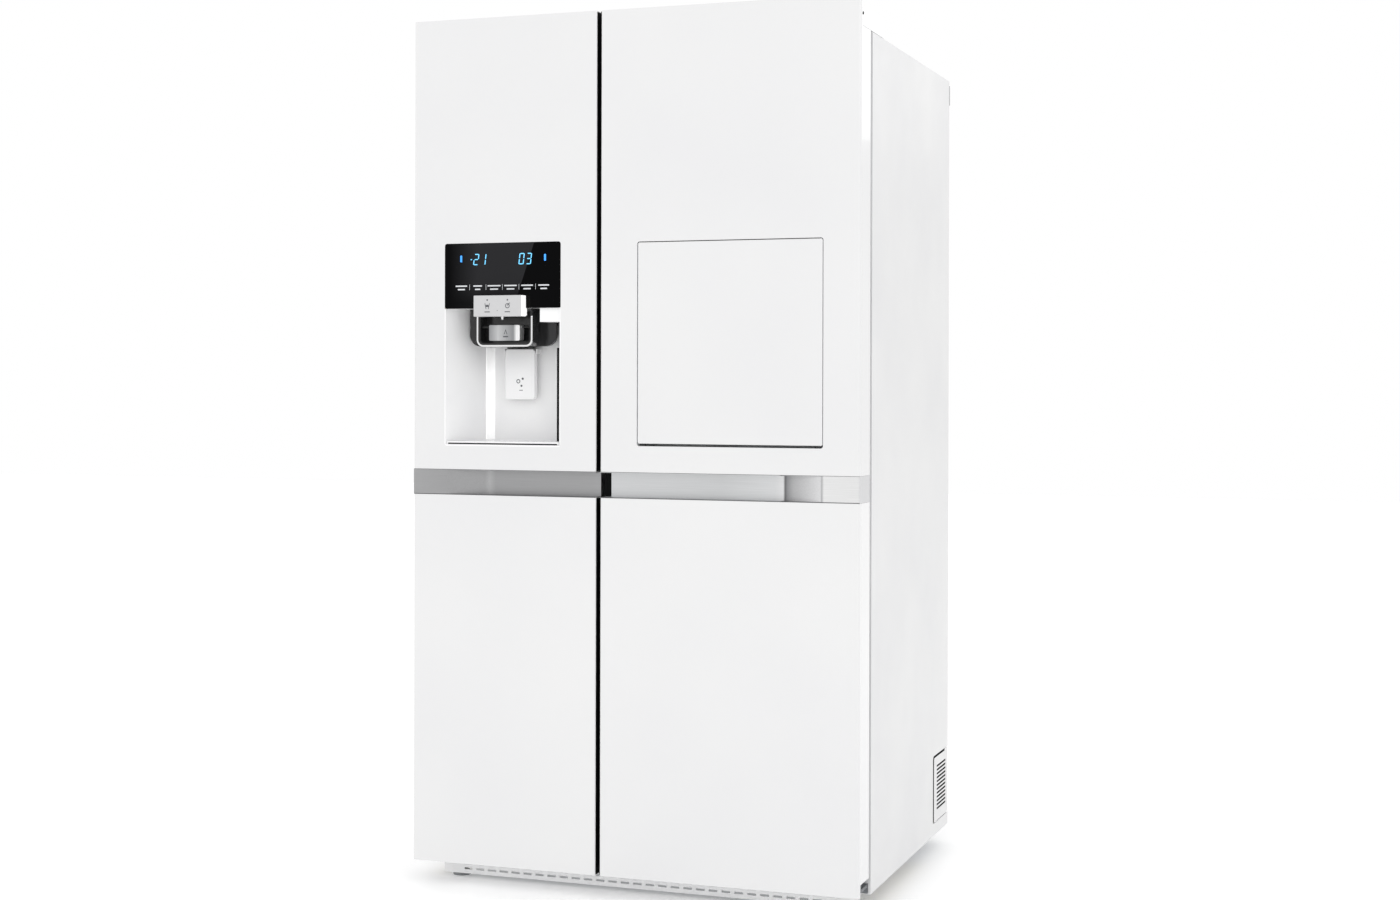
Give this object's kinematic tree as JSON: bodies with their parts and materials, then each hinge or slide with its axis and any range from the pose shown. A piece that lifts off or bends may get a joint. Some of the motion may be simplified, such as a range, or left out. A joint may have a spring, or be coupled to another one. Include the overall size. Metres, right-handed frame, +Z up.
{
  "type": "side by side refrigerator",
  "caption": "Tall white side by side refrigerator with an ice and water dispenser, a drop-down home bar flap and recessed aluminium grips.",
  "frame": {"origin": "on the floor under the middle of the object's box", "axes": "+Z up, +Y to the rear, +X to the right seen from the front"},
  "size_m": [0.912, 0.764, 1.705],
  "materials": {
    "door_enamel": "gloss",
    "cabinet_enamel": "satin",
    "galvanised": "satin",
    "hinge_steel": "satin",
    "brushed_aluminium": "satin",
    "silver_trim": "satin",
    "chrome_trim": "polished",
    "white_abs": "gloss",
    "liner_hips": "satin",
    "grey_plastic": "matte",
    "black_plastic": "gloss",
    "dark_plastic": "matte",
    "panel_glass": "gloss",
    "clear_glass": "gloss",
    "clear_drawer": "gloss",
    "seal_rubber": "matte",
    "black_rubber": "matte",
    "compressor_paint": "satin",
    "copper_coil": "satin",
    "foam": "matte",
    "lamp_lens": "gloss"
  },
  "bodies": {
    "cabinet": {"cabinet_shell": "cabinet_enamel", "cabinet_foam": "foam", "rear_panel": "galvanised", "freezer_liner": "liner_hips", "fridge_liner": "liner_hips", "centre_mullion": "cabinet_enamel", "base_frame": "galvanised", "kick_plate": "white_abs", "machine_cover": "galvanised", "side_vent": "cabinet_enamel", "compressor": "compressor_paint", "condenser_coil": "copper_coil", "upper_hinges": "hinge_steel", "hinge_covers": "white_abs", "lower_hinges": "hinge_steel", "evaporator": "brushed_aluminium", "air_ducts": "liner_hips", "glass_shelves": "clear_glass", "ice_maker": "white_abs", "ice_bucket": "clear_drawer", "interior_lamps": "lamp_lens", "wall_spacers": "grey_plastic", "service_inlet": "black_rubber", "cabinet_screws": "galvanised"},
    "foot_left_body": {"foot_left": "grey_plastic"},
    "foot_right_body": {"foot_right": "grey_plastic"},
    "roller_left_body": {"roller_left": "dark_plastic"},
    "roller_right_body": {"roller_right": "dark_plastic"},
    "fan": {"condenser_fan": "dark_plastic"},
    "crisper_upper_body": {"crisper_upper": "clear_drawer"},
    "crisper_lower_body": {"crisper_lower": "clear_drawer"},
    "freezer_drawer_upper_body": {"freezer_drawer_upper": "clear_drawer"},
    "freezer_drawer_lower_body": {"freezer_drawer_lower": "clear_drawer"},
    "freezer_door": {"freezer_door_skin": "door_enamel", "freezer_door_foam": "foam", "freezer_door_liner": "liner_hips", "freezer_door_caps": "white_abs", "freezer_gasket": "seal_rubber", "freezer_handle": "brushed_aluminium", "freezer_bins": "clear_drawer", "dispenser_housing": "white_abs", "control_panel": "panel_glass", "selector_block": "silver_trim", "chute_hood": "black_plastic", "chute_ring": "chrome_trim"},
    "ice_paddle": {"ice_lever": "silver_trim"},
    "chute_flap": {"ice_flap": "black_plastic"},
    "water_pad": {"water_lever": "white_abs"},
    "drip_drawer": {"drip_tray": "white_abs"},
    "fridge_door": {"fridge_door_skin": "door_enamel", "fridge_door_foam": "foam", "fridge_door_liner": "liner_hips", "fridge_door_caps": "white_abs", "fridge_gasket": "seal_rubber", "fridge_handle": "brushed_aluminium", "fridge_bins": "clear_drawer", "homebar_case": "liner_hips"},
    "home_bar_door": {"homebar_skin": "door_enamel", "homebar_liner": "white_abs", "homebar_gasket": "seal_rubber"}
  },
  "joints": [
    {"name": "freezer_door_hinge", "type": "hinge", "parent": "cabinet", "child": "freezer_door", "pos_m": [-0.442, -0.328, 1.649], "axis": [0, 0, 1], "range_deg": [-120, 0]},
    {"name": "fridge_door_hinge", "type": "hinge", "parent": "cabinet", "child": "fridge_door", "pos_m": [0.442, -0.328, 1.649], "axis": [0, 0, 1], "range_deg": [0, 120]},
    {"name": "home_bar_hinge", "type": "hinge", "parent": "fridge_door", "child": "home_bar_door", "pos_m": [0.201, -0.352, 0.887], "axis": [1, 0, 0], "range_deg": [0, 90]},
    {"name": "ice_paddle_pivot", "type": "hinge", "parent": "freezer_door", "child": "ice_paddle", "pos_m": [-0.265, -0.338, 1.101], "axis": [1, 0, 0], "range_deg": [0, 8], "stiffness_Nm_per_rad": 1},
    {"name": "chute_flap_pivot", "type": "hinge", "parent": "freezer_door", "child": "chute_flap", "pos_m": [-0.265, -0.299, 1.115], "axis": [1, 0, 0], "range_deg": [-50, 0]},
    {"name": "water_pad_pivot", "type": "hinge", "parent": "freezer_door", "child": "water_pad", "pos_m": [-0.265, -0.2692, 1.054], "axis": [1, 0, 0], "range_deg": [0, 3], "stiffness_Nm_per_rad": 2},
    {"name": "drip_tray_slide", "type": "slide", "parent": "freezer_door", "child": "drip_drawer", "axis": [0, -1, 0], "range_m": [0, 0.06]},
    {"name": "crisper_upper_slide", "type": "slide", "parent": "cabinet", "child": "crisper_upper_body", "axis": [0, -1, 0], "range_m": [0, 0.06]},
    {"name": "crisper_lower_slide", "type": "slide", "parent": "cabinet", "child": "crisper_lower_body", "axis": [0, -1, 0], "range_m": [0, 0.06]},
    {"name": "freezer_drawer_upper_slide", "type": "slide", "parent": "cabinet", "child": "freezer_drawer_upper_body", "axis": [0, -1, 0], "range_m": [0, 0.06]},
    {"name": "freezer_drawer_lower_slide", "type": "slide", "parent": "cabinet", "child": "freezer_drawer_lower_body", "axis": [0, -1, 0], "range_m": [0, 0.06]},
    {"name": "roller_left_axle", "type": "hinge", "parent": "cabinet", "child": "roller_left_body", "pos_m": [-0.386, 0.334, 0.018], "axis": [1, 0, 0], "continuous": true},
    {"name": "roller_right_axle", "type": "hinge", "parent": "cabinet", "child": "roller_right_body", "pos_m": [0.386, 0.334, 0.018], "axis": [1, 0, 0], "continuous": true},
    {"name": "foot_left_thread", "type": "hinge", "parent": "cabinet", "child": "foot_left_body", "pos_m": [-0.401, -0.252, 0.02], "axis": [0, 0, 1], "continuous": true},
    {"name": "foot_right_thread", "type": "hinge", "parent": "cabinet", "child": "foot_right_body", "pos_m": [0.401, -0.252, 0.02], "axis": [0, 0, 1], "continuous": true},
    {"name": "fan_spin", "type": "hinge", "parent": "cabinet", "child": "fan", "pos_m": [0.266, 0.261, 0.138], "axis": [1, 0, 0], "continuous": true}
  ],
  "couplings": [
    {"joint": "chute_flap_pivot", "follows": "ice_paddle_pivot", "ratio": -6}
  ]
}
